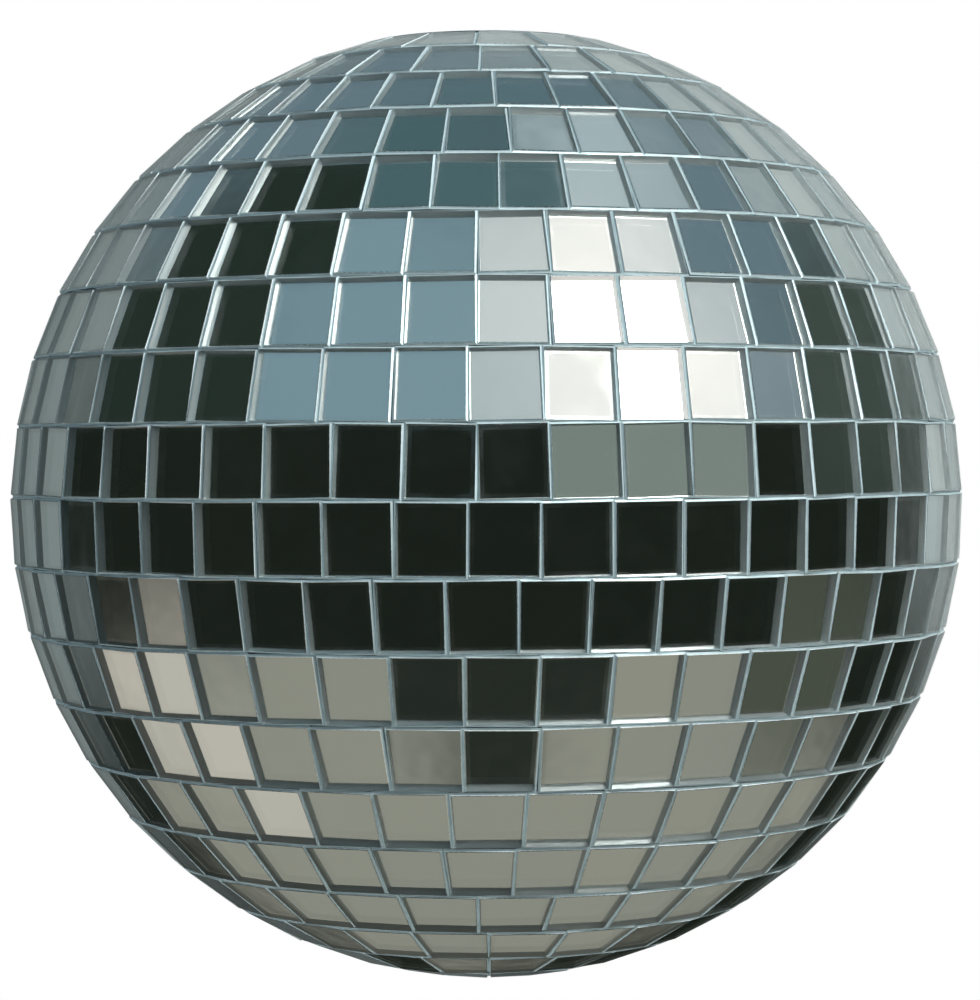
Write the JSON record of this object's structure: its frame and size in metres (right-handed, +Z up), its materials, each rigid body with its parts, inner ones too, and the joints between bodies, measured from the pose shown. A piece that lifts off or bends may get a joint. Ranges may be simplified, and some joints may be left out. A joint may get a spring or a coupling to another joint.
{
  "type": "mirror ball",
  "caption": "Ball covered in level rows of square mirror tiles on a two-part plastic core, with a recessed swivel eye and a folding bail at the top pole to hang it by.",
  "frame": {"origin": "centre of the ball", "axes": "+Z up through the hanger at the top pole, which is the axis the ball spins about; the front faces -Y, and the folded bail lies towards +X"},
  "size_m": [0.1506, 0.1506, 0.1482],
  "materials": {
    "mirror_glass": "silvered glass tiles, slightly hazy",
    "shell_plastic": "moulded, grey-blue",
    "chrome_plate": "bright plated steel",
    "zinc_steel": "zinc plated",
    "bearing_bronze": "turned, oiled"
  },
  "bodies": {
    "ball": {"mirror_row_upper_1": "mirror_glass", "mirror_row_upper_2": "mirror_glass", "mirror_row_upper_3": "mirror_glass", "mirror_row_upper_4": "mirror_glass", "mirror_row_upper_5": "mirror_glass", "mirror_row_upper_6": "mirror_glass", "mirror_row_upper_7": "mirror_glass", "mirror_row_upper_8": "mirror_glass", "mirror_row_upper_9": "mirror_glass", "mirror_row_lower_1": "mirror_glass", "mirror_row_lower_2": "mirror_glass", "mirror_row_lower_3": "mirror_glass", "mirror_row_lower_4": "mirror_glass", "mirror_row_lower_5": "mirror_glass", "mirror_row_lower_6": "mirror_glass", "mirror_row_lower_7": "mirror_glass", "mirror_row_lower_8": "mirror_glass", "mirror_row_lower_9": "mirror_glass", "mirror_row_lower_10": "mirror_glass", "upper_shell": "shell_plastic", "lower_shell": "shell_plastic", "seam_ring": "shell_plastic", "hanger_pan": "chrome_plate", "cap_screw_1": "zinc_steel", "cap_screw_2": "zinc_steel", "cap_screw_3": "zinc_steel", "swivel_bush": "bearing_bronze", "bottom_button": "chrome_plate"},
    "swivel": {"swivel_eye": "zinc_steel", "thrust_washer": "zinc_steel", "lower_washer": "zinc_steel", "lock_nut": "zinc_steel"},
    "bail": {"hanging_bail": "chrome_plate", "bail_pin": "zinc_steel"}
  },
  "joints": [
    {"name": "swivel_spin", "type": "hinge", "parent": "ball", "child": "swivel", "pos_m": [0, 0, 0.0648], "axis": [0, 0, 1], "continuous": true},
    {"name": "bail_fold", "type": "hinge", "parent": "swivel", "child": "bail", "pos_m": [0, 0, 0.0704], "axis": [0, -1, 0], "range_deg": [0, 180]}
  ]
}
